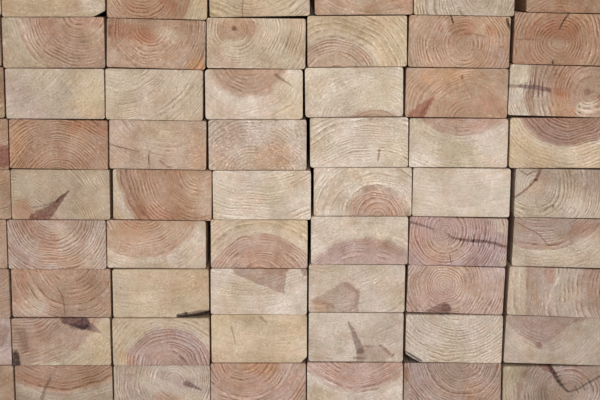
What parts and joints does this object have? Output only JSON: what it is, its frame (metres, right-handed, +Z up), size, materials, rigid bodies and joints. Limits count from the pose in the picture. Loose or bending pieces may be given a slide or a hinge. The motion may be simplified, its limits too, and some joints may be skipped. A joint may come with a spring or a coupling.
{
  "type": "stack of lumber",
  "caption": "Stack of planed softwood framing boards in even layers, all lying the same way with sawn ends flush.",
  "frame": {"origin": "centre of the stack's outline, on the ground under the lowest layer", "axes": "+Y along the boards, away from the facing ends; +Z up; +X to the right as seen from the facing ends"},
  "size_m": [0.654, 2.403, 0.4168],
  "materials": {
    "softwood": "planed faces with eased arrises and rough sawn ends"
  },
  "bodies": {
    "root": {"layer_1": "softwood", "layer_2": "softwood", "layer_3": "softwood", "layer_4": "softwood", "layer_5": "softwood", "layer_6": "softwood", "layer_7": "softwood", "layer_8": "softwood", "layer_9": "softwood"}
  },
  "joints": []
}
